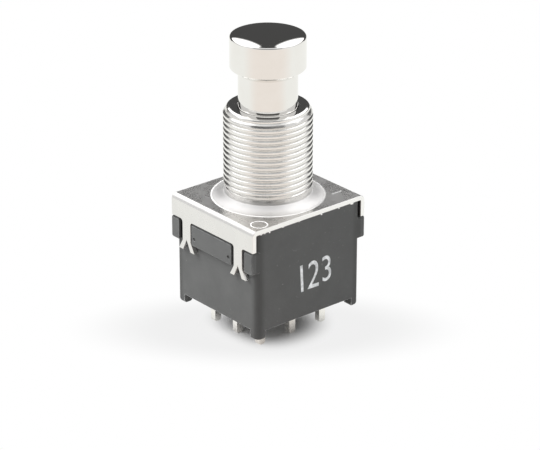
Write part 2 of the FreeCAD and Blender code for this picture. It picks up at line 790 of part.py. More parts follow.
def make_throw_terminal(pole, side):
    name = f"throw_terminal_{pole + 2}{'a' if side < 0 else 'b'}"
    body = new_body(name, "0", f"{pole} * pole_pitch")
    strip = new_sketch(body, f"{name}_pad", "XY", FLOOR)
    outer = f"{side} * (terminal_pitch + terminal_stock / 2)"
    rectangle(strip, "-pad_width / 2", f"{side} * ({RIVET_REACH} - pad_land)",
              "pad_width / 2", outer)
    pad(body, strip, "pad_stock")
    leg = new_sketch(body, f"{name}_leg", "XZ", f"-{side} * terminal_pitch")
    pin = "terminal_width / 2"
    outline(leg, [
        (f"-{pin}", f"-{TERMINAL_DROP} + terminal_chamfer"),
        (f"-{pin} + terminal_chamfer", f"-{TERMINAL_DROP}"),
        (f"{pin} - terminal_chamfer", f"-{TERMINAL_DROP}"),
        (pin, f"-{TERMINAL_DROP} + terminal_chamfer"), (pin, FLOOR), (f"-{pin}", FLOOR),
    ])
    pad(body, leg, "terminal_stock", both_ways=True)
    hole = new_sketch(body, f"{name}_hole", "XY", FLOOR)
    circle(hole, "0", f"{side} * {RIVET_REACH}", "rivet_shank / 2")
    pocket(body, hole, "pad_stock", reverse=True)
    return body


def make_contact_rivet(pole, side):
    name = f"contact_rivet_{pole + 2}{'a' if side < 0 else 'b'}"
    body = new_body(name, FLOOR, f"{pole} * pole_pitch", f"{side} * {RIVET_REACH}")
    profile = new_sketch(body, f"{name}_profile", "XZ")
    head = "rivet_head / 2"
    shank = "rivet_shank / 2"
    edge = "rivet_rise / 2"
    dome = f"((({head}) ^ 2 + ({edge}) ^ 2) / (2 * {edge}))"
    outline(profile, [
        ("0", "0"), (shank, "0"), (shank, "pad_stock"), (head, "pad_stock"),
        (head, f"pad_stock + {edge}"), ("0", "pad_stock + rivet_rise", dome),
    ])
    revolve(body, profile)
    return body


# Housing: open-topped moulding with locking blocks on two sides, corner feet and a slotted floor


def make_housing():
    body = new_body("housing")
    half_x = f"({HOUSING_WIDTH} / 2)"
    half_y = f"({HOUSING_DEPTH} / 2)"

    box = new_sketch(body, "HousingBox", "XY", f"-{HOUSING_DROP}")
    rectangle(box, f"-{half_x}", f"-{half_y}", half_x, half_y)
    shell = pad(body, box, f"{HOUSING_DROP} - frame_sheet")
    shell = round_edges(body, shell, "HousingCorners", "housing_corner",
                        lambda middle, edge: runs_along(edge, ALONG_Z))
    body.Tip = shell

    cavity = new_sketch(body, "Cavity", "XY", "-frame_sheet")
    rectangle(cavity, f"-{half_x} + wall_thickness", f"-{half_y} + wall_thickness",
              f"{half_x} - wall_thickness", f"{half_y} - wall_thickness")
    pocket(body, cavity, f"-{FLOOR} - frame_sheet")

    partitions = new_sketch(body, "Partitions", "XY", FLOOR)
    for hand in ("-1", "1"):
        middle = f"{hand} * pole_pitch / 2"
        rectangle(partitions, f"{middle} - partition_thickness / 2", f"-{half_y} + wall_thickness",
                  f"{middle} + partition_thickness / 2", f"{half_y} - wall_thickness")
    pad(body, partitions, "partition_height")

    root = f"({half_x} - housing_corner)"
    blocks = new_sketch(body, "LockingBlocks", "YZ", root)
    top = "-skirt_drop - block_clearance"
    middle_half = "(leg_spacing / 2 - leg_width / 2 - block_leg_gap)"
    inner = "(leg_spacing / 2 + leg_width / 2 + block_outer_gap)"
    outer = f"({half_y} - block_end_step)"
    for left, right in ((f"-{middle_half}", middle_half), (inner, outer), (f"-{outer}", f"-{inner}")):
        rounded_rectangle(blocks, left, f"-{BLOCK_DROP}", right, top, "block_corner")
    block_face = f"({FRAME_WIDTH} / 2 + block_proud)"
    block_pad = pad(body, blocks, f"{block_face} - {root}")
    blocks_done = mirror(body, "BlocksOtherSide", [block_pad], "YZ")
    face_now = number(block_face)
    chamfer_edges(body, blocks_done, "BlockChamfers", "block_chamfer",
                  lambda middle, edge: abs(abs(middle.x) - face_now) < SAME)

    pips = new_sketch(body, "Pips", "YZ", block_face)
    for hand in ("-1", "1"):
        circle(pips, f"{hand} * ({middle_half} - pip_inset)", f"pip_rise - {BLOCK_DROP}",
               "pip_diameter / 2")
    pip_pad = pad(body, pips, "pip_height")
    mirror(body, "PipsOtherSide", [pip_pad], "YZ")

    seats = new_sketch(body, "TrunnionSlots", "YZ")
    radius = "trunnion_diameter / 2 + trunnion_clearance"
    outline(seats, [
        (f"-({radius})", f"-{CAM_AXIS}"), ("0", f"-{CAM_AXIS} - ({radius})", radius),
        (radius, f"-{CAM_AXIS}", radius), (radius, "0"), (f"-({radius})", "0"),
    ])
    pocket(body, seats, f"{TRUNNION_REACH} + 2 * trunnion_clearance", both_ways=True)

    slots = new_sketch(body, "TerminalSlots", "XY", f"-{HOUSING_DROP}")
    for pole in (-1, 0, 1):
        for line in (-1, 0, 1):
            rectangle(slots,
                      f"{pole} * pole_pitch - terminal_width / 2",
                      f"{line} * terminal_pitch - terminal_stock / 2",
                      f"{pole} * pole_pitch + terminal_width / 2",
                      f"{line} * terminal_pitch + terminal_stock / 2")
    pocket(body, slots, "floor_thickness", reverse=True)

    feet = new_sketch(body, "Feet", "XY", f"-{HOUSING_DROP}")
    inset_x = f"({half_x} - foot_across)"
    inset_y = f"({half_y} - foot_along)"
    for x_hand in ("-1", "1"):
        for y_hand in ("-1", "1"):
            outline(feet, [
                (f"{x_hand} * {inset_x}", f"{y_hand} * {inset_y}"),
                (f"{x_hand} * {half_x}", f"{y_hand} * {inset_y}"),
                (f"{x_hand} * {half_x}", f"{y_hand} * ({half_y} - housing_corner)"),
                (f"{x_hand} * ({half_x} - housing_corner)", f"{y_hand} * {half_y}",
                 f"{x_hand} * {y_hand} * housing_corner"),
                (f"{x_hand} * {inset_x}", f"{y_hand} * {half_y}"),
            ])
    foot_pad = pad(body, feet, "foot_height", reverse=True)
    low = number(f"{HOUSING_DROP} + foot_height")
    round_edges(body, foot_pad, "FootRounding", "foot_round",
                lambda middle, edge: abs(middle.z + low) < SAME and runs_along(edge, ALONG_Y))
    return body


# Cam retainer: a moulded bridge that keeps the trunnions down and spaces the plate


def make_cam_retainer():
    body = new_body("cam_retainer")
    half_x = f"({HOUSING_WIDTH} / 2 - wall_thickness - retainer_clearance)"
    half_y = f"({HOUSING_DEPTH} / 2 - wall_thickness - retainer_clearance)"
    top = f"({FLANGE_FOOT} - retainer_gap)"
    plate = new_sketch(body, "RetainerPlate", "XY", top)
    rectangle(plate, f"-{half_x}", f"-{half_y}", half_x, half_y)
    circle(plate, "0", "0", "counterbore_diameter / 2 + retainer_opening_gap")
    pad(body, plate, "retainer_thickness", reverse=True)

    posts = new_sketch(body, "RetainerPosts", "XY", top)
    corner = f"({FLANGE} + post_clearance) * cos(45)"
    for x_hand in ("-1", "1"):
        for y_hand in ("-1", "1"):
            rectangle(posts, f"{x_hand} * {half_x}", f"{y_hand} * {half_y}",
                      f"{x_hand} * {corner}", f"{y_hand} * {corner}")
    pad(body, posts, "flange_thickness + retainer_gap")

    legs = new_sketch(body, "RetainerLegs", "XY", top)
    slot_half = "(trunnion_diameter / 2)"
    for hand in ("-1", "1"):
        rectangle(legs, f"{hand} * ({CAM_LENGTH} / 2 + retainer_clearance)", f"-{slot_half}",
                  f"{hand} * {TRUNNION_REACH} / 2", slot_half)
    seat = f"(trunnion_diameter / 2 + trunnion_clearance - {CAM_AXIS})"
    pad(body, legs, f"{top} - {seat}", reverse=True)
    return body


poles = (-1, 0, 1)
bodies = [
    make_frame_plate(),
    make_bushing(),
    make_plunger(),
    make_retaining_ring(),
    make_return_spring(),
    make_pawl(),
    make_pawl_pin(),
    make_centring_spring(),
    make_toggle_cam(),
    make_housing(),
    make_cam_retainer(),
]
for pole in poles:
    bodies.append(make_contact_pin(pole))
    bodies.append(make_contact_spring(pole))
    bodies.append(make_contact_rocker(pole))
    bodies.append(make_common_terminal(pole))
    for side in (-1, 1):
        bodies.append(make_throw_terminal(pole, side))
        bodies.append(make_contact_rivet(pole, side))

doc.recompute()

# Every object has to be sound before anything is written

for item in doc.Objects:
    if "Invalid" in item.State or "Error" in item.State:
        raise ValueError(f"{item.Label} failed: {item.State}")
for body in bodies:
    shape = body.Shape
    if shape.isNull() or not shape.isValid() or len(shape.Solids) != 1:
        raise ValueError(f"{body.Label} is not one valid solid")

os.makedirs("parts", exist_ok=True)
for body in bodies:
    body.Shape.exportStep(f"parts/{body.Label}.step")
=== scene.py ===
import math
import random

import bmesh
import bpy
from mathutils import Matrix, Vector


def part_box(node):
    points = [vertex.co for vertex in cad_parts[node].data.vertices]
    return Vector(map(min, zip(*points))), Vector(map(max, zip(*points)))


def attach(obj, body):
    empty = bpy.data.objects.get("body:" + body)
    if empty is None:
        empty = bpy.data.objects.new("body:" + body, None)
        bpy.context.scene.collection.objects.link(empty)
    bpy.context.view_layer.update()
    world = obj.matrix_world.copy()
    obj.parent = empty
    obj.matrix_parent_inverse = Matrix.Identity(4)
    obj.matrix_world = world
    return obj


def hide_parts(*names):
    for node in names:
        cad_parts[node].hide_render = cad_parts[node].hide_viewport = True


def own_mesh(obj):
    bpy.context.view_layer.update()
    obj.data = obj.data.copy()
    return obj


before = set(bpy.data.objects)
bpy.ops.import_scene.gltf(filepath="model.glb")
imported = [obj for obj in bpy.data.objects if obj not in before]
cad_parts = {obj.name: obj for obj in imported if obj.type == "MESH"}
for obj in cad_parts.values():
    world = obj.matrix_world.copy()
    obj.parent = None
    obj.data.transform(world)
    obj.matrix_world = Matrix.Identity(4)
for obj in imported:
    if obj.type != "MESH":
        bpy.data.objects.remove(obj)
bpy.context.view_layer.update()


# Housing
# An open-topped box moulded in dark grey thermoset. The locking blocks on its two sides stand
# level with the folded plate, whose legs are crimped under them, and it has a foot at each corner.

scene = bpy.context.scene
MM = 0.001
WELD = 0.002
FLAT = math.radians(0.3)
SHARP = math.radians(34)
STRAIGHT_ON = 0.9
housing_rounding = 0.06


def trimmed_copy(node, rounding):
    """A node's mesh in millimetres, welded, with its sharp edges rounded over."""
    bm = bmesh.new()
    bm.from_mesh(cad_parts[node].data)
    worn = bm.faces.layers.float.new("edge")
    bmesh.ops.scale(bm, vec=(1 / MM,) * 3, verts=bm.verts)
    bmesh.ops.remove_doubles(bm, verts=bm.verts, dist=WELD)
    bmesh.ops.dissolve_limit(bm, angle_limit=FLAT, verts=bm.verts, edges=bm.edges)
    sharp = [edge for edge in bm.edges if edge.is_manifold and edge.calc_face_angle() > SHARP]
    rounded = bmesh.ops.bevel(bm, geom=sharp, offset=rounding, offset_type="OFFSET", segments=3,
                              profile=0.5, affect="EDGES", material=-1)
    for face in rounded["faces"]:
        face[worn] = 1.0
    return bm


def fit(bm, name, body, material, replaced=()):
    """Turn a mesh drawn in millimetres into a finished piece that rides on a body."""
    bmesh.ops.scale(bm, vec=(MM,) * 3, verts=bm.verts)
    mesh = bpy.data.meshes.new(name)
    bm.to_mesh(mesh)
    bm.free()
    mesh.shade_smooth()
    mesh.set_sharp_from_angle(angle=SHARP)
    mesh.materials.append(material)
    piece = bpy.data.objects.new(name, mesh)
    scene.collection.objects.link(piece)
    weighted = piece.modifiers.new("Weighted normals", "WEIGHTED_NORMAL")
    weighted.keep_sharp = True
    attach(piece, body)
    if replaced:
        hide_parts(*replaced)
    return piece


def add(tree, kind, inputs=None, **settings):
    """Put a node in a shader tree, with its settings, and link or set its inputs."""
    made = tree.nodes.new(kind)
    for name, value in settings.items():
        setattr(made, name, value)
    for name, value in (inputs or {}).items():
        if isinstance(value, bpy.types.NodeSocket):
            tree.links.new(value, made.inputs[name])
        else:
            made.inputs[name].default_value = value
    return made


def maths(tree, operation, first, second=0.0, clamp=False):
    """One step of arithmetic in a shader tree."""
    return add(tree, "ShaderNodeMath", {0: first, 1: second},
               operation=operation, use_clamp=clamp).outputs[0]


def remap(tree, value, low, high, new_low=0.0, new_high=1.0):
    """Ease a value from one range into another."""
    return add(tree, "ShaderNodeMapRange",
               {"Value": value, "From Min": low, "From Max": high,
                "To Min": new_low, "To Max": new_high},
               interpolation_type="SMOOTHSTEP").outputs["Result"]


def blended(tree, factor, first, second):
    """Mix two colours."""
    return add(tree, "ShaderNodeMix", {0: factor, 6: first, 7: second}, data_type="RGBA").outputs[2]


def effect_group(name, inputs, outputs):
    """An empty node group with named float sockets, and its input and output nodes."""
    group = bpy.data.node_groups.new(name, "ShaderNodeTree")
    for socket, value in inputs.items():
        made = group.interface.new_socket(socket, in_out="INPUT", socket_type="NodeSocketFloat")
        made.default_value = value
    for socket in outputs:
        group.interface.new_socket(socket, in_out="OUTPUT", socket_type="NodeSocketFloat")
    return group, add(group, "NodeGroupInput").outputs, add(group, "NodeGroupOutput").inputs


def effect(tree, group, **values):
    """Place an effect in a material and return its outputs."""
    return add(tree, "ShaderNodeGroup", values, node_tree=group).outputs


def object_place(tree):
    """Where a point is on the object, in metres."""
    return add(tree, "ShaderNodeTexCoord").outputs["Object"]


def per_size(tree, size):
    """The scale at which a pattern has a size in millimetres."""
    return maths(tree, "DIVIDE", 1 / MM, size)


def mottle_effect():
    """Cloudy variation at one size in millimetres, from 0 to 1 about a half."""
    group, given, made = effect_group("Mottle", {"Size": 1.0, "Contrast": 1.0}, ["Value"])
    clouds = add(group, "ShaderNodeTexNoise",
                 {"Vector": object_place(group), "Scale": per_size(group, given["Size"]),
                  "Detail": 3.0, "Roughness": 0.55})
    centred = maths(group, "SUBTRACT", clouds.outputs[0], 0.5)
    spread = maths(group, "MULTIPLY", centred, given["Contrast"])
    group.links.new(maths(group, "ADD", spread, 0.5, clamp=True), made["Value"])
    return group


def edge_effect():
    """Where the rounded edges are, broken up as rubbed edges are."""
    group, given, made = effect_group("Rubbed edges", {"Size": 0.6, "Amount": 1.0}, ["Mask"])
    edge = add(group, "ShaderNodeAttribute", attribute_name="edge").outputs["Fac"]
    patches = add(group, "ShaderNodeTexNoise",
                  {"Vector": object_place(group), "Scale": per_size(group, given["Size"]), "Detail": 2.0})
    broken = remap(group, patches.outputs[0], 0.38, 0.62, 0.25, 1.0)
    mask = maths(group, "MULTIPLY", maths(group, "MULTIPLY", edge, broken), given["Amount"])
    group.links.new(mask, made["Mask"])
    return group


def speckle_effect():
    """Fine grains at one size in millimetres, as moulds and blasted sheet leave."""
    group, given, made = effect_group("Fine grain", {"Size": 0.1}, ["Height"])
    grains = add(group, "ShaderNodeTexVoronoi",
                 {"Vector": object_place(group), "Scale": per_size(group, given["Size"])},
                 feature="SMOOTH_F1")
    group.links.new(grains.outputs["Distance"], made["Height"])
    return group


mottle = mottle_effect()
rubbed_edges = edge_effect()
fine_grain = speckle_effect()


def new_material(name):
    """An empty material with its Principled shader."""
    material = bpy.data.materials.new(name)
    material.use_nodes = True
    tree = material.node_tree
    tree.nodes.clear()
    shader = add(tree, "ShaderNodeBsdfPrincipled")
    add(tree, "ShaderNodeOutputMaterial", {"Surface": shader.outputs[0]})
    return material, tree, shader


def raise_grain(tree, shader, height, strength, depth):
    """Turn a height into relief, with its depth in millimetres."""
    bump = add(tree, "ShaderNodeBump",
               {"Height": height, "Strength": strength, "Distance": depth * MM})
    tree.links.new(bump.outputs[0], shader.inputs["Normal"])


# Heights and places in millimetres where the feet are rubbed, with a painted highlight along the lower
# edges, and where the upright corners get painted shade
feet_rub_and_highlight_from = -15.2
feet_rub_and_highlight_full = -15.5
wall_reach = 9.1
blocks_from = 9.25
corner_from = 16.0
corner_full = 17.05
corner_shade_depth = 0.5
painted_shade_cover = 0.85


def moulded_plastic(name, dark, light, rub, roughness):
    """Moulded thermoset or acetal: cloudy colour, a fine matt skin, rubbed edges with a painted highlight
    towards the feet, painted shade on the upright corners and in the recesses.
    """
    material, tree, shader = new_material(name)
    broad = effect(tree, mottle, Size=3.2, Contrast=1.8)["Value"]
    small = effect(tree, mottle, Size=0.7, Contrast=1.5)["Value"]
    clouds = maths(tree, "ADD", maths(tree, "MULTIPLY", small, 0.45),
                   maths(tree, "MULTIPLY", broad, 0.55))
    dust = remap(tree, effect(tree, mottle, Size=0.3, Contrast=1.0)["Value"], 0.69, 0.74, 0.0, 0.3)
    colour = blended(tree, dust, blended(tree, clouds, dark, light), rub)
    parts = add(tree, "ShaderNodeSeparateXYZ", {0: object_place(tree)}).outputs
    # Edges are rubbed lighter everywhere and far more towards the feet, where it is also a painted
    # highlight along the lower edges.
    edge_wear_and_highlight = remap(tree, parts["Z"], feet_rub_and_highlight_from * MM, feet_rub_and_highlight_full * MM, 0.2, 1.3)
    edge = effect(tree, rubbed_edges, Size=0.8, Amount=edge_wear_and_highlight)["Mask"]
    from_yz = maths(tree, "ABSOLUTE", parts["X"])
    from_xz = maths(tree, "ABSOLUTE", parts["Y"])
    # The wall near the upright corners is darkened towards near black: painted shade.
    on_wall = remap(tree, from_yz, blocks_from * MM, wall_reach * MM)
    outwards = remap(tree, maths(tree, "ADD", from_yz, from_xz), corner_from * MM, corner_full * MM)
    painted_corner_shade = maths(tree, "MULTIPLY", maths(tree, "MULTIPLY", on_wall, outwards), corner_shade_depth)
    corner_shaded = blended(tree, painted_corner_shade, colour, (0.02, 0.02, 0.02, 1))
    worn = blended(tree, edge, corner_shaded, rub)
    # The marked faces in the gaps round the blocks and inside the pips are darkened to near black:
    # painted shade.
    shaded_recess = add(tree, "ShaderNodeAttribute", attribute_name="shaded_recess").outputs["Fac"]
    painted_shade = maths(tree, "MULTIPLY", shaded_recess, painted_shade_cover)
    tree.links.new(blended(tree, painted_shade, worn, (0.012, 0.012, 0.012, 1)), shader.inputs["Base Color"])
    tree.links.new(remap(tree, small, 0.0, 1.0, roughness - 0.07, roughness + 0.07),
                   shader.inputs["Roughness"])
    skin = effect(tree, fine_grain, Size=0.11)["Height"]
    waves = maths(tree, "MULTIPLY", broad, 1.5)
    raise_grain(tree, shader, maths(tree, "ADD", skin, waves), 0.5, 0.012)
    return material


housing_plastic = moulded_plastic("Housing thermoset", (0.060, 0.0615, 0.0615, 1),
                                  (0.092, 0.0935, 0.093, 1), (0.42, 0.42, 0.42, 1), 0.52)
housing = trimmed_copy("housing", housing_rounding)
housing_low, housing_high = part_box("housing")
pip_height = 0.12
block_depth = 0.87
block_ends = 8.3
block_face = housing_high.x / MM - pip_height
wall_face = block_face - block_depth
turned_down = -0.3
shaded_recess = housing.faces.layers.float.new("shaded_recess")
for vert in housing.verts:
    proud = abs(vert.co.x) - block_face
    if proud > WELD:
        vert.co.x -= math.copysign(2 * proud, vert.co.x)
# Mark the faces in the gaps round the blocks and inside the pips, which the material darkens as painted
# shade.
for face in housing.faces:
    middle = face.calc_center_median()
    beside_block = wall_face < abs(middle.x) and abs(middle.y) < block_ends
    turned_in = abs(face.normal.x) < STRAIGHT_ON or abs(middle.x) < block_face - pip_height / 2
    face[shaded_recess] = float(beside_block and turned_in and face.normal.z > turned_down)
fit(housing, "moulded_housing", "switch_body", housing_plastic, ["housing"])


# Terminals and fixed contacts
# Nine flat blades stamped from brass strip and silver plated. Three common ones stand as knife
# edges in the middle row, six carry a contact rivet, and all come out below as solder pins.

poles = (1, 2, 3)
throws = [f"{pole}{side}" for pole in poles for side in "ab"]
terminal_rounding = 0.05
rivet_rounding = 0.03


def mill_effect():
    """Rolled or drawn metal: fine streaks along Z, or an even grain, and soft handling marks."""
    group, given, made = effect_group("Rolled metal", {"Across": 20.0, "Along": 1.0, "Smear": 2.5},
                                      ["Streaks", "Marks"])
    place = object_place(group)
    thin = maths(group, "MULTIPLY", given["Across"], 1 / MM)
    long = maths(group, "MULTIPLY", given["Along"], 1 / MM)
    stretch = add(group, "ShaderNodeCombineXYZ", {"X": thin, "Y": thin, "Z": long}).outputs[0]
    lines = add(group, "ShaderNodeVectorMath", {0: place, 1: stretch}, operation="MULTIPLY").outputs[0]
    streaks = add(group, "ShaderNodeTexNoise", {"Vector": lines, "Scale": 1.0, "Detail": 4.0})
    marks = add(group, "ShaderNodeTexNoise",
                {"Vector": place, "Scale": per_size(group, given["Smear"]), "Detail": 3.0,
                 "Distortion": 0.6})
    group.links.new(streaks.outputs[0], made["Streaks"])
    group.links.new(remap(group, marks.outputs[0], 0.35, 0.68), made["Marks"])
    return group


rolled_metal = mill_effect()


def plated_metal(name, colour, tarnish, roughness, across, along, smear, depth=0.002):
    """Plated or drawn metal: streaks, faint stains, and a rougher film where it was handled."""
    material, tree, shader = new_material(name)
    shader.inputs["Metallic"].default_value = 1.0
    surface = effect(tree, rolled_metal, Across=across, Along=along, Smear=smear)
    edge = effect(tree, rubbed_edges, Size=0.5, Amount=0.6)["Mask"]
    stained = blended(tree, maths(tree, "MULTIPLY", surface["Marks"], 0.35), colour, tarnish)
    bright = [min(1.0, 1.12 * part) for part in colour[:3]] + [1]
    tree.links.new(blended(tree, edge, stained, bright), shader.inputs["Base Color"])
    film = maths(tree, "ADD", remap(tree, surface["Marks"], 0.0, 1.0, -0.04, 0.06),
                 remap(tree, surface["Streaks"], 0.3, 0.7, -0.03, 0.03))
    tree.links.new(maths(tree, "ADD", film, roughness), shader.inputs["Roughness"])
    raise_grain(tree, shader, surface["Streaks"], 0.6, depth)
    return material


silvered_brass = plated_metal("Silvered brass", (0.92, 0.91, 0.885, 1), (0.84, 0.80, 0.74, 1), 0.24,
                              16.0, 1.6, 1.4)
terminals = [f"common_terminal_{pole}" for pole in poles] + [f"throw_terminal_{name}" for name in throws]
for node in terminals:
    fit(trimmed_copy(node, terminal_rounding), f"{node}_pin", "switch_body",
        silvered_brass, [node])
for name in throws:
    fit(trimmed_copy(f"contact_rivet_{name}", rivet_rounding), f"riveted_contact_{name}", "switch_body",
        silvered_brass, [f"contact_rivet_{name}"])


# Contact rockers
# Three see-saws of silver plated strip, each hanging by its waist between the horns of a common
# terminal, with a pressed valley that the cam's sprung pin slides along.

rocker_rounding = 0.03
for pole in poles:
    fit(trimmed_copy(f"contact_rocker_{pole}", rocker_rounding), f"rocking_contact_{pole}",
        f"rocker_{pole}", silvered_brass, [f"contact_rocker_{pole}"])


# Toggle cam with its sprung contact pins
# A moulded acetal bar that rocks on two trunnions. Each of its three bores holds a spring of fine
# wire and a round-ended silvered pin.

cam_rounding = 0.05
contact_pin_rounding = 0.04
inner_acetal = moulded_plastic("Natural acetal", (0.80, 0.79, 0.74, 1), (0.88, 0.87, 0.83, 1),
                               (0.9, 0.9, 0.87, 1), 0.38)
spring_steel = plated_metal("Spring steel", (0.56, 0.56, 0.565, 1), (0.42, 0.41, 0.40, 1), 0.3,
                            14.0, 14.0, 1.0)
fit(trimmed_copy("toggle_cam", cam_rounding), "rocking_cam", "cam", inner_acetal,
    ["toggle_cam"])

CAM_TILT = math.radians(14)
contact_wire = 0.22
contact_spring_mean = 0.64
contact_spring_length = 2.0
contact_spring_turns = 1.6


def wound_spring(wire, mean, length, open_turns):
    """A compression spring of round wire along Z from 0, with one closed turn at each end."""
    bm = bmesh.new()
    bm.faces.layers.float.new("edge")
    steps, sides = 28, 12
    place = Matrix.Translation((mean, 0, wire / 2)) @ Matrix.Rotation(math.pi / 2, 4, "X")
    ring = bmesh.ops.create_circle(bm, cap_ends=False, segments=sides, radius=wire / 2, matrix=place)
    end = ring["verts"] + list({edge for vert in ring["verts"] for edge in vert.link_edges})
    open_rise = length - 3 * wire
    for turns, rise in ((1, wire), (open_turns, open_rise), (1, wire)):
        count = round(turns * steps)
        turned = bmesh.ops.spin(bm, geom=end, cent=(0, 0, 0), axis=(0, 0, 1),
                                dvec=(0, 0, rise / count), angle=2 * math.pi * turns, steps=count)
        end = [item for item in turned["geom_last"] if not isinstance(item, bmesh.types.BMFace)]
    bmesh.ops.holes_fill(bm, edges=[edge for edge in bm.edges if edge.is_boundary], sides=0)
    bmesh.ops.recalc_face_normals(bm, faces=bm.faces)
    return bm


for pole in poles:
    fit(trimmed_copy(f"contact_pin_{pole}", contact_pin_rounding), f"sprung_pin_{pole}",
        f"contact_pin_{pole}", silvered_brass, [f"contact_pin_{pole}"])
    low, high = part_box(f"contact_spring_{pole}")
    centre = (low + high) / 2 / MM
    lean = Matrix.Rotation(CAM_TILT, 4, "X")
    spring = wound_spring(contact_wire, contact_spring_mean, contact_spring_length,
                          contact_spring_turns)
    bmesh.ops.transform(spring, matrix=Matrix.Translation(centre) @ lean
                        @ Matrix.Translation((0, 0, -contact_spring_length / 2)), verts=spring.verts)
    piece = fit(spring, f"contact_coil_{pole}", "cam", spring_steel,
                [f"contact_spring_{pole}"])
    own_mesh(piece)


# Cam retainer
# A moulded bridge of the same acetal. It lies under the plate and holds the cam's trunnions down
# in the slots of the housing.

retainer_rounding = 0.05
fit(trimmed_copy("cam_retainer", retainer_rounding), "retaining_bridge", "switch_body",
    inner_acetal, ["cam_retainer"])


# Bushing
# Turned brass with a fine thread, nickel plated. Its foot is rolled out under the plate's collar,
# and a lip inside its bore carries the return spring.

THREAD_PITCH = 0.75
THREAD_DEPTH = 0.32
THREAD_STEPS = 120
# One tooth of the thread, as shares of its pitch and of its depth
thread_tooth = [(0.0, 0.0), (0.36, 0.0), (0.41, 0.06), (0.62, 0.92), (0.655, 1.0), (0.705, 1.0),
                (0.74, 0.92), (0.95, 0.06)]
neck_height = 0.5
end_chamfer = 0.5
chamfer_slope = 0.6
chamfer_groove = 0.5
end_rounding = 0.04
bushing_bore = 4.07
bore_chamfer = 0.04
lip_bore = 2.58
lip_foot = 0.4
lip_top = 1.4
counterbore = 3.9
flange = 6.4
flange_top = -1.55
shoulder = -0.65
shoulder_radius = 5.78
faced_from = 0.06
faced_full = 0.02
bushing_low, bushing_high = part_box("bushing")


def distance_from_axis(tree, parts):
    """How far a point is from the Z axis, from its separate coordinates."""
    flat = add(tree, "ShaderNodeCombineXYZ", {"X": parts["X"], "Y": parts["Y"]}).outputs[0]
    return add(tree, "ShaderNodeVectorMath", {0: flat}, operation="LENGTH").outputs["Value"]


def turned_effect():
    """Fine rings left by the lathe on anything turned about Z, and soft handling marks."""
    group, given, made = effect_group("Turned metal", {"Rings": 9.0, "Smear": 3.0}, ["Rings", "Marks"])
    place = object_place(group)
    parts = add(group, "ShaderNodeSeparateXYZ", {0: place}).outputs
    dense = maths(group, "MULTIPLY", given["Rings"], 1 / MM)
    cut = add(group, "ShaderNodeCombineXYZ",
              {"X": maths(group, "MULTIPLY", distance_from_axis(group, parts), dense),
               "Y": maths(group, "MULTIPLY", parts["Z"], dense)}).outputs[0]
    rings = add(group, "ShaderNodeTexNoise", {"Vector": cut, "Scale": 1.0, "Detail": 2.0})
    marks = add(group, "ShaderNodeTexNoise",
                {"Vector": place, "Scale": per_size(group, given["Smear"]), "Detail": 4.0,
                 "Distortion": 0.4})
    group.links.new(rings.outputs[0], made["Rings"])
    group.links.new(remap(group, marks.outputs[0], 0.36, 0.7), made["Marks"])
    return group


turned_metal = turned_effect()


def nickel_plating(name, roughness, ring_depth):
    """Bright nickel over turned brass, with a trace of the lathe's rings and of fingers."""
    material, tree, shader = new_material(name)
    shader.inputs["Metallic"].default_value = 1.0
    surface = effect(tree, turned_metal, Rings=9.0, Smear=2.2)
    edge = effect(tree, rubbed_edges, Size=0.5, Amount=0.5)["Mask"]
    nickel = blended(tree, maths(tree, "MULTIPLY", surface["Marks"], 0.3),
                     (0.87, 0.86, 0.84, 1), (0.82, 0.80, 0.765, 1))
    tree.links.new(blended(tree, edge, nickel, (0.9, 0.89, 0.87, 1)), shader.inputs["Base Color"])
    film = remap(tree, surface["Marks"], 0.0, 1.0, roughness - 0.02, roughness + 0.05)
    height = add(tree, "ShaderNodeSeparateXYZ", {0: object_place(tree)}).outputs["Z"]
    faced = remap(tree, height, bushing_high.z - faced_from * MM, bushing_high.z - faced_full * MM,
                  1.0, 0.3)
    tree.links.new(maths(tree, "MULTIPLY", film, faced), shader.inputs["Roughness"])
    raise_grain(tree, shader, surface["Rings"], 0.5, ring_depth)
    return material


thread_nickel = nickel_plating("Nickel on the thread", 0.2, 0.0015)
cap_nickel = nickel_plating("Nickel on the cap", 0.06, 0.0006)

thread_radius = 6.0
bushing_top = bushing_high.z / MM
flange_foot = bushing_low.z / MM
root_radius = thread_radius - THREAD_DEPTH
thread = bmesh.new()
thread.faces.layers.float.new("edge")
turns_below = 2
turns = math.ceil(bushing_top / THREAD_PITCH) + turns_below + 1
column = []
for turn in range(turns):
    for share, cut in thread_tooth:
        height = (turn + share - turns_below) * THREAD_PITCH
        column.append(thread.verts.new((thread_radius - cut * THREAD_DEPTH, 0, height)))
flank = [thread.edges.new(pair) for pair in zip(column, column[1:])]
bmesh.ops.spin(thread, geom=column + flank, cent=(0, 0, 0), axis=(0, 0, 1),
               dvec=(0, 0, THREAD_PITCH / THREAD_STEPS), angle=2 * math.pi, steps=THREAD_STEPS)
bmesh.ops.remove_doubles(thread, verts=thread.verts, dist=WELD)
crown = bushing_top - end_rounding
for height, keep_above in ((0.0, True), (crown, False)):
    bmesh.ops.bisect_plane(thread, geom=thread.verts[:] + thread.edges[:] + thread.faces[:],
                           plane_co=(0, 0, height), plane_no=(0, 0, 1),
                           clear_inner=keep_above, clear_outer=not keep_above)
for vert in thread.verts:
    radius = math.hypot(vert.co.x, vert.co.y)
    below_top = bushing_top - vert.co.z
    groove = (thread_radius - radius) * min(chamfer_groove, below_top)
    cone = thread_radius - end_chamfer + below_top * chamfer_slope - groove
    runout = root_radius + max(vert.co.z - neck_height, 0.0)
    limit = min(radius, cone, runout)
    if vert.co.z < neck_height:
        limit = root_radius
    vert.co.x *= limit / radius
    vert.co.y *= limit / radius


def open_rim(bm, height):
    """The open edges that lie at one height."""
    return [edge for edge in bm.edges if edge.is_boundary
            and all(abs(vert.co.z - height) < WELD for vert in edge.verts)]


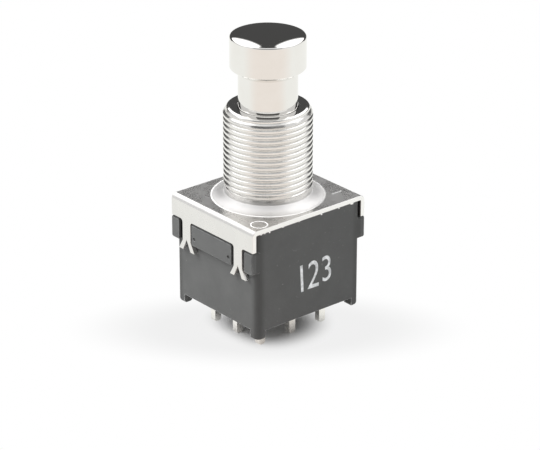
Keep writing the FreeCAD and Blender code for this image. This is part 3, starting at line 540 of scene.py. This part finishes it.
foot_rim = open_rim(thread, 0.0)
rim = open_rim(thread, crown)
bore_top = bushing_top - bore_chamfer
crown_radius = thread_radius - end_chamfer
for radius, height in (
        (crown_radius - end_rounding / 3, bushing_top - end_rounding / 3),
        (crown_radius - end_rounding, bushing_top),
        (bushing_bore + bore_chamfer + end_rounding, bushing_top),
        (bushing_bore + bore_chamfer, bushing_top - end_rounding / 3),
        (bushing_bore, bore_top), (bushing_bore, lip_top), (lip_bore, lip_top),
        (lip_bore, lip_foot), (counterbore, lip_foot), (counterbore, flange_foot),
        (flange, flange_foot), (flange, flange_top), (shoulder_radius, shoulder),
        (root_radius, shoulder)):
    grown = bmesh.ops.extrude_edge_only(thread, edges=rim)["geom"]
    rim = [item for item in grown if isinstance(item, bmesh.types.BMEdge)]
    for vert in {vert for edge in rim for vert in edge.verts}:
        spoke = Vector((vert.co.x, vert.co.y)).normalized() * radius
        vert.co = (spoke.x, spoke.y, height)
bmesh.ops.bridge_loops(thread, edges=rim + foot_rim)
bmesh.ops.recalc_face_normals(thread, faces=thread.faces)
fit(thread, "threaded_bushing", "switch_body", thread_nickel, ["bushing"])


# Frame plate
# One piece of plated steel sheet, folded down on two sides, with a collar drawn up round the
# bushing. Its four legs are split and spread over the housing's blocks, which holds it all together.

plate_rounding = 0.07
collar_foot = 7.9
collar_drawn = 7.5
highlight_ring_inside_from, highlight_ring_inside_full = 7.56, 7.6
highlight_ring_outside_from, highlight_ring_outside_full = 7.74, 7.7


def plate_steel():
    """Satin plated sheet, smoother and brighter where the collar was drawn, with a painted highlight ring
    round the collar's foot.
    """
    material, tree, shader = new_material("Plated sheet steel")
    surface = effect(tree, rolled_metal, Across=7.0, Along=7.0, Smear=2.6)
    grain = effect(tree, fine_grain, Size=0.16)["Height"]
    clouds = effect(tree, mottle, Size=1.3, Contrast=1.2)["Value"]
    edge = effect(tree, rubbed_edges, Size=0.5, Amount=0.7)["Mask"]
    worn = maths(tree, "ADD", maths(tree, "MULTIPLY", surface["Marks"], 0.12),
                 maths(tree, "MULTIPLY", clouds, 0.2))
    colour = blended(tree, worn, (0.84, 0.83, 0.815, 1), (0.75, 0.74, 0.73, 1))
    rubbed = blended(tree, edge, colour, (0.88, 0.88, 0.87, 1))
    sheared = add(tree, "ShaderNodeAttribute", attribute_name="sheared").outputs["Fac"]
    parts = add(tree, "ShaderNodeSeparateXYZ", {0: object_place(tree)}).outputs
    radius = distance_from_axis(tree, parts)
    drawn = remap(tree, radius, collar_foot * MM, collar_drawn * MM)
    bright = blended(tree, maths(tree, "MULTIPLY", drawn, 0.8), rubbed, (0.9, 0.89, 0.885, 1))
    # A thin ring round the collar's foot is made white and less metallic: a painted highlight.
    painted_highlight_ring = maths(tree, "MULTIPLY",
                 remap(tree, radius, highlight_ring_inside_from * MM, highlight_ring_inside_full * MM),
                 remap(tree, radius, highlight_ring_outside_from * MM, highlight_ring_outside_full * MM))
    sheared_and_painted_highlight = maths(tree, "MAXIMUM", sheared, painted_highlight_ring)
    metal = maths(tree, "SUBTRACT", 1.0, maths(tree, "MULTIPLY", painted_highlight_ring, 0.7))
    tree.links.new(metal, shader.inputs["Metallic"])
    tree.links.new(blended(tree, sheared_and_painted_highlight, bright, (0.97, 0.97, 0.96, 1)), shader.inputs["Base Color"])
    film = maths(tree, "ADD", remap(tree, clouds, 0.0, 1.0, 0.26, 0.29),
                 remap(tree, surface["Marks"], 0.0, 1.0, -0.01, 0.02))
    rough = maths(tree, "ADD", film, maths(tree, "MULTIPLY", drawn, 0.22))
    sheared_and_highlight_roughness = maths(tree, "ADD", maths(tree, "MULTIPLY", sheared, 0.2),
                    maths(tree, "MULTIPLY", painted_highlight_ring, 0.4))
    tree.links.new(maths(tree, "ADD", rough, sheared_and_highlight_roughness), shader.inputs["Roughness"])
    raise_grain(tree, shader, maths(tree, "ADD", grain, surface["Streaks"]), 0.05, 0.005)
    return material


frame_steel = plate_steel()
plate = trimmed_copy("frame_plate", plate_rounding)
sheared = plate.faces.layers.float.new("sheared")
for face in plate.faces:
    face[sheared] = float(abs(face.normal.y) > STRAIGHT_ON)
cut_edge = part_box("frame_plate")[0].y / MM
sheet_foot = -1.55
burrs = random.Random(4)
burr_places = (-8.3, -7.7, -6.9, -4.6, -1.8, 2.1, 5.2, 7.4, 7.65)
burr_reach = (0.07, 0.2)
burr_width = (0.1, 0.24)
burr_lean = 0.4
burr_thickness = 0.07
burr_sunk = 0.04
for across in burr_places:
    reach = burrs.uniform(*burr_reach)
    lump = (Matrix.Translation((across, cut_edge + burr_sunk, sheet_foot - reach / 3))
            @ Matrix.Rotation(burrs.uniform(-burr_lean, burr_lean), 4, "Y")
            @ Matrix.Diagonal((burrs.uniform(*burr_width), burr_thickness, reach, 1.0)))
    burr = bmesh.ops.create_icosphere(plate, subdivisions=1, radius=1.0, matrix=lump)
    for face in {face for vert in burr["verts"] for face in vert.link_faces}:
        face[sheared] = 1.0
fit(plate, "folded_plate", "switch_body", frame_steel, ["frame_plate"])


# Plunger
# Cap, stem and slotted tail turned from one bar of brass and nickel plated. The stem runs in the
# bushing's bore, and the tail carries the pawl on a cross pin.


def as_object(bm, name):
    """A throwaway object that holds a mesh while it is cut."""
    mesh = bpy.data.meshes.new(name)
    bm.to_mesh(mesh)
    made = bpy.data.objects.new(name, mesh)
    scene.collection.objects.link(made)
    return made


def cut_away(bm, tool):
    """Cut one closed mesh out of another."""
    body_object = as_object(bm, "cut_body")
    tool_object = as_object(tool, "cut_tool")
    tool.free()
    cut = body_object.modifiers.new("Cut", "BOOLEAN")
    cut.operation = "DIFFERENCE"
    cut.solver = "EXACT"
    cut.object = tool_object
    bpy.context.view_layer.update()
    mesh = bpy.data.meshes.new_from_object(
        body_object.evaluated_get(bpy.context.evaluated_depsgraph_get()))
    bpy.data.objects.remove(body_object)
    bpy.data.objects.remove(tool_object)
    bm.clear()
    bm.from_mesh(mesh)
    bmesh.ops.remove_doubles(bm, verts=bm.verts, dist=WELD)


plunger_low, plunger_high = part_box("plunger")
cap_radius = plunger_high.x / MM
cap_crown = plunger_high.z / MM
cap_dome = 0.45
cap_rim = cap_crown - cap_dome
cap_rounding = 0.28
cap_thickness = 4.3
cap_underside = cap_rim - cap_thickness
cap_taper = 0.8
stem_radius = 4.0
stem_shoulder = 7.7
tail_radius = 2.5
tail_end = plunger_low.z / MM
groove_radius = 2.1
groove_low = -0.15
groove_high = 0.35
corner = 0.06
dome_steps = 12
rim_steps = 6
turned_steps = 96
dome_radius = (cap_radius ** 2 + cap_dome ** 2) / (2 * cap_dome)
cap_profile = []
for step in range(dome_steps + 1):
    across = (cap_radius - cap_rounding) * step / dome_steps
    cap_profile.append((across, cap_crown - dome_radius + math.sqrt(dome_radius ** 2 - across ** 2)))
rim_slope = math.asin((cap_radius - cap_rounding) / dome_radius)
dome_foot = cap_profile[-1][1]
for step in range(1, rim_steps + 1):
    turn = rim_slope + (math.pi / 2 - rim_slope) * step / rim_steps
    cap_profile.append((cap_radius - cap_rounding * (1 - math.sin(turn)),
                        dome_foot - cap_rounding * (math.cos(rim_slope) - math.cos(turn))))
cap_profile += [
    (cap_radius, cap_underside + corner), (cap_radius - corner, cap_underside - corner / 2),
    (stem_radius, cap_underside - cap_taper),
    (stem_radius, stem_shoulder + corner), (stem_radius - corner, stem_shoulder),
    (tail_radius, stem_shoulder), (tail_radius, groove_high), (groove_radius, groove_high),
    (groove_radius, groove_low), (tail_radius, groove_low),
    (tail_radius, tail_end + corner), (tail_radius - corner, tail_end), (0.0, tail_end),
]
plunger = bmesh.new()
plunger.faces.layers.float.new("edge")
line = [plunger.verts.new((radius, 0, height)) for radius, height in cap_profile]
bmesh.ops.spin(plunger, geom=line + [plunger.edges.new(pair) for pair in zip(line, line[1:])],
               cent=(0, 0, 0), axis=(0, 0, 1), angle=2 * math.pi, steps=turned_steps, use_merge=True)
bmesh.ops.remove_doubles(plunger, verts=plunger.verts, dist=WELD)
bmesh.ops.recalc_face_normals(plunger, faces=plunger.faces)

slot_half = 0.96
spring_bore = 0.95
spring_bore_depth = 3.0
cross_hole = 0.6
hole_sides = 32
overshoot = 0.5
spring_bore_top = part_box("centring_spring")[1].z / MM
slot_top = spring_bore_top - spring_bore_depth
cross_low, cross_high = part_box("pawl_pin")
cross_height = (cross_low.z + cross_high.z) / 2 / MM
slot_foot = tail_end - overshoot
cuts = bmesh.new()
slot_place = Matrix.Translation((0, 0, (slot_top + slot_foot) / 2))
slot_size = Matrix.Diagonal((2 * slot_half, 3 * tail_radius, slot_top - slot_foot, 1.0))
bmesh.ops.create_cube(cuts, size=1.0, matrix=slot_place @ slot_size)
cut_away(plunger, cuts)
cuts = bmesh.new()
bore_foot = slot_top - overshoot
bmesh.ops.create_cone(cuts, cap_ends=True, segments=hole_sides, radius1=spring_bore,
                      radius2=spring_bore, depth=spring_bore_top - bore_foot,
                      matrix=Matrix.Translation((0, 0, (spring_bore_top + bore_foot) / 2)))
cut_away(plunger, cuts)
cuts = bmesh.new()
bmesh.ops.create_cone(cuts, cap_ends=True, segments=hole_sides, radius1=cross_hole,
                      radius2=cross_hole, depth=3 * tail_radius,
                      matrix=Matrix.Translation((0, 0, cross_height))
                      @ Matrix.Rotation(math.pi / 2, 4, "Y"))
cut_away(plunger, cuts)
fit(plunger, "push_cap", "plunger", cap_nickel, ["plunger"])


# Retaining ring, return spring and pawl
# An open steel ring snaps into the tail's groove. The return spring of round wire stands on the
# bushing's lip round the tail, and the pawl swings on its pin under a small centring spring.

return_wire = 0.44
return_mean = 3.38
return_turns = 2.4
return_spring_low, return_spring_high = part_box("return_spring")
return_length = (return_spring_high.z - return_spring_low.z) / MM
coil = wound_spring(return_wire, return_mean, return_length, return_turns)
bmesh.ops.translate(coil, vec=(0, 0, return_spring_low.z / MM), verts=coil.verts)
coil = fit(coil, "return_coil", "switch_body", spring_steel, ["return_spring"])
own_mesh(coil)

centring_wire = 0.26
centring_mean = 0.72
centring_turns = 2.5
centring_low, centring_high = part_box("centring_spring")
centring = wound_spring(centring_wire, centring_mean, (centring_high.z - centring_low.z) / MM,
                        centring_turns)
bmesh.ops.translate(centring, vec=(0, 0, centring_low.z / MM), verts=centring.verts)
fit(centring, "centring_coil", "plunger", spring_steel, ["centring_spring"])
pawl_rounding = 0.04
for node, name, body, slot, material in (
        ("retaining_ring", "snap_ring", "plunger", "spring_steel", spring_steel),
        ("pawl_pin", "cross_pin", "plunger", "spring_steel", spring_steel),
        ("pawl", "swinging_pawl", "pawl", "inner_plastic", inner_acetal)):
    fit(trimmed_copy(node, pawl_rounding), name, body, material, [node])


# Marks
# White ink stamped on the housing by hand, unevenly, and light lines printed on the plate. They
# are plain digits, a ring and a stroke.

DIGITS = "123"
CAPITALS_SHARE = 0.725
digit_weight = -0.015
digit_squeeze = 0.8
ink_thickness = 0.02


def stamped_ink(name, thin, full):
    """White ink that covers unevenly."""
    material, tree, shader = new_material(name)
    cover = effect(tree, mottle, Size=0.55, Contrast=3.2)["Value"]
    tree.links.new(blended(tree, cover, thin, full), shader.inputs["Base Color"])
    tree.links.new(remap(tree, cover, 0.0, 1.0, 0.7, 0.5), shader.inputs["Roughness"])
    raise_grain(tree, shader, cover, 0.4, 0.01)
    return material


white_ink = stamped_ink("White ink", (0.55, 0.56, 0.57, 1), (0.93, 0.94, 0.95, 1))
printed_face = housing_low.y / MM
# For each digit: across, height of its middle, size, lean in degrees
placed_digits = [(-1.2, -9.9, 4.2, 3), (0.7, -9.85, 4.2, -2), (3.2, -9.65, 3.9, 3)]
ink = bmesh.new()
ink.faces.layers.float.new("edge")
for digit, (across, middle, tall, lean) in zip(DIGITS, placed_digits):
    curve = bpy.data.curves.new(f"digit_{digit}", "FONT")
    curve.body = digit
    curve.size = tall / CAPITALS_SHARE
    curve.offset = digit_weight
    curve.align_x = "CENTER"
    curve.extrude = ink_thickness
    text = bpy.data.objects.new(f"digit_{digit}", curve)
    scene.collection.objects.link(text)
    bpy.context.view_layer.update()
    drawn = bpy.data.meshes.new_from_object(text.evaluated_get(bpy.context.evaluated_depsgraph_get()))
    bpy.data.objects.remove(text)
    before = len(ink.verts)
    ink.from_mesh(drawn)
    ink.verts.ensure_lookup_table()
    shape = ink.verts[before:]
    upright = (Matrix.Translation((across, printed_face, middle - tall / 2))
               @ Matrix.Rotation(math.pi / 2, 4, "X") @ Matrix.Rotation(math.radians(lean), 4, "Z")
               @ Matrix.Diagonal((digit_squeeze, 1.0, 1.0, 1.0)))
    bmesh.ops.transform(ink, matrix=upright, verts=shape)
bmesh.ops.remove_doubles(ink, verts=ink.verts, dist=WELD)
fit(ink, "stamped_digits", "switch_body", white_ink)

plate_top = -0.9
ring_centre = (-7.4, -7.0)
ring_radius = 1.1
ring_steps = 48
stroke_centre = (7.38, -5.6)
stroke_length = 1.64
stroke_width = 0.2
line_width = 0.13
line_height = 0.02
marks = bmesh.new()
marks.faces.layers.float.new("edge")
line_place = (Matrix.Translation((ring_centre[0] + ring_radius, ring_centre[1], plate_top))
              @ Matrix.Rotation(math.pi / 2, 4, "X")
              @ Matrix.Diagonal((1.0, line_height / line_width * 2, 1.0, 1.0)))
section = bmesh.ops.create_circle(marks, cap_ends=False, segments=4, radius=line_width / 2,
                                  matrix=line_place)
section = section["verts"] + list({edge for vert in section["verts"] for edge in vert.link_edges})
bmesh.ops.spin(marks, geom=section, cent=(*ring_centre, 0), axis=(0, 0, 1), angle=2 * math.pi,
               steps=ring_steps, use_merge=True)
stroke_place = (Matrix.Translation((*stroke_centre, plate_top))
                @ Matrix.Diagonal((stroke_length, stroke_width, line_height, 1.0)))
bmesh.ops.create_cube(marks, size=1.0, matrix=stroke_place)
bmesh.ops.remove_doubles(marks, verts=marks.verts, dist=WELD)
bmesh.ops.recalc_face_normals(marks, faces=marks.faces)
fit(marks, "plate_marks", "switch_body",
    stamped_ink("Light print", (0.8, 0.8, 0.8, 1), (0.95, 0.95, 0.94, 1)))


# Floor, light and camera
# The switch stands on its pins on a white sweep, between two soft overhead boxes with a narrow dark
# gap between them, in front of a dark room. The camera looks down past its printed corner.

view_turn = math.radians(40.07)
floor_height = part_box("common_terminal_1")[0].z
floor_radius = 1.6

floor_mesh = bmesh.new()
bmesh.ops.create_circle(floor_mesh, cap_ends=True, segments=96, radius=floor_radius,
                        matrix=Matrix.Translation((0, 0, floor_height)))
mesh = bpy.data.meshes.new("floor")
floor_mesh.to_mesh(mesh)
floor_mesh.free()
floor = bpy.data.objects.new("floor", mesh)
scene.collection.objects.link(floor)

# Where the floor's own shadow gives way to white paper, and where a painted shade darkens that paper, in
# metres round the pins
shadow_middle = (0.0, -0.0005, 0.0)
shadow_from, shadow_gone = 0.004, 0.0095
shade_middle = (0.0, -0.0025, 0.0)
shade_spread = (0.45, 1.0, 0.0)
shade_from, shade_gone = 0.006, 0.013
shade_depth = 0.87
mirrored_from, mirrored_full = 0.004, 0.012
cool_until, warm_from = -0.15, -0.85

material, tree, shader = new_material("White sweep")
shader.inputs["Roughness"].default_value = 0.7
shader.inputs["Base Color"].default_value = (0.74, 0.74, 0.74, 1)
seen = add(tree, "ShaderNodeVectorRotate", {"Vector": object_place(tree), "Angle": view_turn},
           rotation_type="Z_AXIS").outputs[0]
parts = add(tree, "ShaderNodeSeparateXYZ", {0: seen}).outputs
flat = add(tree, "ShaderNodeCombineXYZ", {"X": parts["X"], "Y": parts["Y"]}).outputs[0]
distance = add(tree, "ShaderNodeVectorMath", {0: flat}, operation="LENGTH").outputs["Value"]
path = add(tree, "ShaderNodeLightPath").outputs
ahead = maths(tree, "DIVIDE", parts["Y"], distance)
warm = blended(tree, remap(tree, ahead, cool_until, warm_from), (0.97, 0.975, 0.945, 1),
               (0.935, 0.875, 0.82, 1))
mirrored = add(tree, "ShaderNodeEmission", {"Color": warm, "Strength": 1.0}).outputs[0]
to_shadow = add(tree, "ShaderNodeVectorMath", {0: flat, 1: shadow_middle},
                operation="DISTANCE").outputs["Value"]
clear = remap(tree, to_shadow, shadow_from, shadow_gone)
wide = add(tree, "ShaderNodeVectorMath", {0: flat, 1: shade_spread},
           operation="MULTIPLY").outputs["Vector"]
from_shade = add(tree, "ShaderNodeVectorMath", {0: wide, 1: shade_middle},
                 operation="DISTANCE").outputs["Value"]
# Near the pins the white floor is dimmed for the camera: a painted shadow.
painted_floor_shade = remap(tree, from_shade, shade_from, shade_gone, shade_depth, 1.0)
white_with_painted_shade = add(tree, "ShaderNodeEmission", {"Color": (1, 1, 1, 1), "Strength": painted_floor_shade}).outputs[0]
near = remap(tree, distance, mirrored_from, mirrored_full)
glossy = maths(tree, "MULTIPLY", path["Is Glossy Ray"], near)
camera_ray = maths(tree, "MULTIPLY", path["Is Camera Ray"], clear)
first = add(tree, "ShaderNodeMixShader", {0: glossy, 1: shader.outputs[0], 2: mirrored}).outputs[0]
second = add(tree, "ShaderNodeMixShader", {0: camera_ray, 1: first, 2: white_with_painted_shade}).outputs[0]
tree.links.new(second, next(node for node in tree.nodes if node.type == "OUTPUT_MATERIAL").inputs[0])
mesh.materials.append(material)

# Each soft box is bounded by great circles, given by their poles as (side, back, up) with the
# heights over them where its light starts and is full. Other heights are sines of the elevation
BOX_BRIGHTNESS = 1.9
MIRRORED_DROP = 0.3
BACK_DARK = 0.07
FRONT_DARK = 0.1
FRONT_GLOW = 1.0
HIGH_GLOW = 0.45
SIDE_GLOW = 0.75
ZENITH_GLOW = 1.0
UNDER_GLOW = 0.9
box_edges = [
    ((-0.455, -0.289, 0.842), -0.004, 0.012),
    ((0.928, -0.250, 0.274), -0.010, 0.010),
    ((0.976, 0.104, -0.19), -0.015, 0.015),
    ((0.0, 0.97, 0.24), -0.12, 0.12),
]
front_from, front_full = 0.0, -0.3
front_glow_gone, front_glow_full = 0.27, 0.20
high_glow_from, high_glow_full = 0.50, 0.68
zenith_from, zenith_full = 0.86, 0.96
floor_line, under_full = 0.0, -0.03
side_back_pole, side_back_edge = (0.643, -0.766, 0.0), (-0.03, 0.06)
side_front_pole, side_front_edge = (0.707, 0.707, 0.0), (-0.05, 0.05)

world = bpy.data.worlds.new("Studio")
scene.world = world
world.use_nodes = True
tree = world.node_tree
tree.nodes.clear()
direction = add(tree, "ShaderNodeTexCoord").outputs["Generated"]
seen = add(tree, "ShaderNodeVectorRotate", {"Vector": direction, "Angle": view_turn},
           rotation_type="Z_AXIS").outputs[0]
parts = add(tree, "ShaderNodeSeparateXYZ", {0: seen}).outputs
side = maths(tree, "ABSOLUTE", parts["X"])
folded = add(tree, "ShaderNodeCombineXYZ", {"X": side, "Y": parts["Y"], "Z": parts["Z"]}).outputs[0]


def height_over(great_circle_pole):
    """How far a direction stands over a great circle, as a sine. Both sides count alike."""
    return add(tree, "ShaderNodeVectorMath", {0: folded, 1: great_circle_pole},
               operation="DOT_PRODUCT").outputs["Value"]


def mixed(tree, factor, first, second):
    """Mix two brightnesses."""
    return add(tree, "ShaderNodeMix", {0: factor, 2: first, 3: second}, data_type="FLOAT").outputs[0]


lit = 1.0
for pole_vector, dark_until, full_from in box_edges:
    lit = maths(tree, "MULTIPLY", remap(tree, height_over(pole_vector), dark_until, full_from), lit)
in_front = remap(tree, parts["Y"], front_from, front_full)
low_front = remap(tree, parts["Z"], front_glow_gone, front_glow_full, FRONT_DARK, FRONT_GLOW)
high_front = remap(tree, parts["Z"], high_glow_from, high_glow_full, FRONT_DARK, HIGH_GLOW)
room = mixed(tree, in_front, BACK_DARK, maths(tree, "MAXIMUM", low_front, high_front))
beside = maths(tree, "MULTIPLY", remap(tree, height_over(side_back_pole), *side_back_edge),
               remap(tree, height_over(side_front_pole), *side_front_edge))
room = maths(tree, "MAXIMUM", room, maths(tree, "MULTIPLY", beside, SIDE_GLOW))
zenith = remap(tree, parts["Z"], zenith_from, zenith_full, 0.0, ZENITH_GLOW)
room = maths(tree, "MAXIMUM", room, zenith)
path = add(tree, "ShaderNodeLightPath").outputs
box_brightness = maths(tree, "SUBTRACT", BOX_BRIGHTNESS,
                       maths(tree, "MULTIPLY", path["Is Glossy Ray"], MIRRORED_DROP))
overhead = maths(tree, "MAXIMUM", maths(tree, "MULTIPLY", lit, box_brightness), room)
below = remap(tree, parts["Z"], floor_line, under_full)
strength = mixed(tree, below, overhead, UNDER_GLOW)
studio = add(tree, "ShaderNodeBackground", {"Color": (1, 1, 1, 1), "Strength": strength}).outputs[0]
backdrop = add(tree, "ShaderNodeBackground", {"Color": (1, 1, 1, 1), "Strength": 1.0}).outputs[0]
chosen = add(tree, "ShaderNodeMixShader",
             {0: path["Is Camera Ray"], 1: studio, 2: backdrop}).outputs[0]
add(tree, "ShaderNodeOutputWorld", {"Surface": chosen})


def soft_lamp(name, azimuth, elevation, distance, size, power):
    """A square soft box that faces the switch. It lights matt surfaces and stays out of the metal."""
    lamp = bpy.data.lights.new(name, "AREA")
    lamp.shape = "SQUARE"
    lamp.size = size
    lamp.energy = power
    lamp_object = bpy.data.objects.new(name, lamp)
    around = math.radians(azimuth)
    above = math.radians(elevation)
    back = Vector((math.sin(around) * math.cos(above), -math.cos(around) * math.cos(above),
                   math.sin(above)))
    lamp_object.location = back * distance
    lamp_object.rotation_euler = back.to_track_quat("Z", "Y").to_euler()
    lamp_object.visible_glossy = False
    lamp_object.visible_camera = False
    scene.collection.objects.link(lamp_object)


soft_lamp("Left fill", azimuth=-115, elevation=42, distance=0.08, size=0.05, power=0.09)

camera_stand = Vector((-208.817, -248.619, 140.338))
camera_aim = Vector((0.2045, -0.1720, -5.4937))
camera_data = bpy.data.cameras.new("Camera")
camera_data.sensor_width = 36.0
camera_data.lens = 175.47
camera = bpy.data.objects.new("Camera", camera_data)
scene.collection.objects.link(camera)
camera.location = camera_stand * MM
camera.rotation_euler = (camera.location - camera_aim * MM).to_track_quat("Z", "Y").to_euler()
scene.camera = camera
scene.view_settings.view_transform = "Standard"
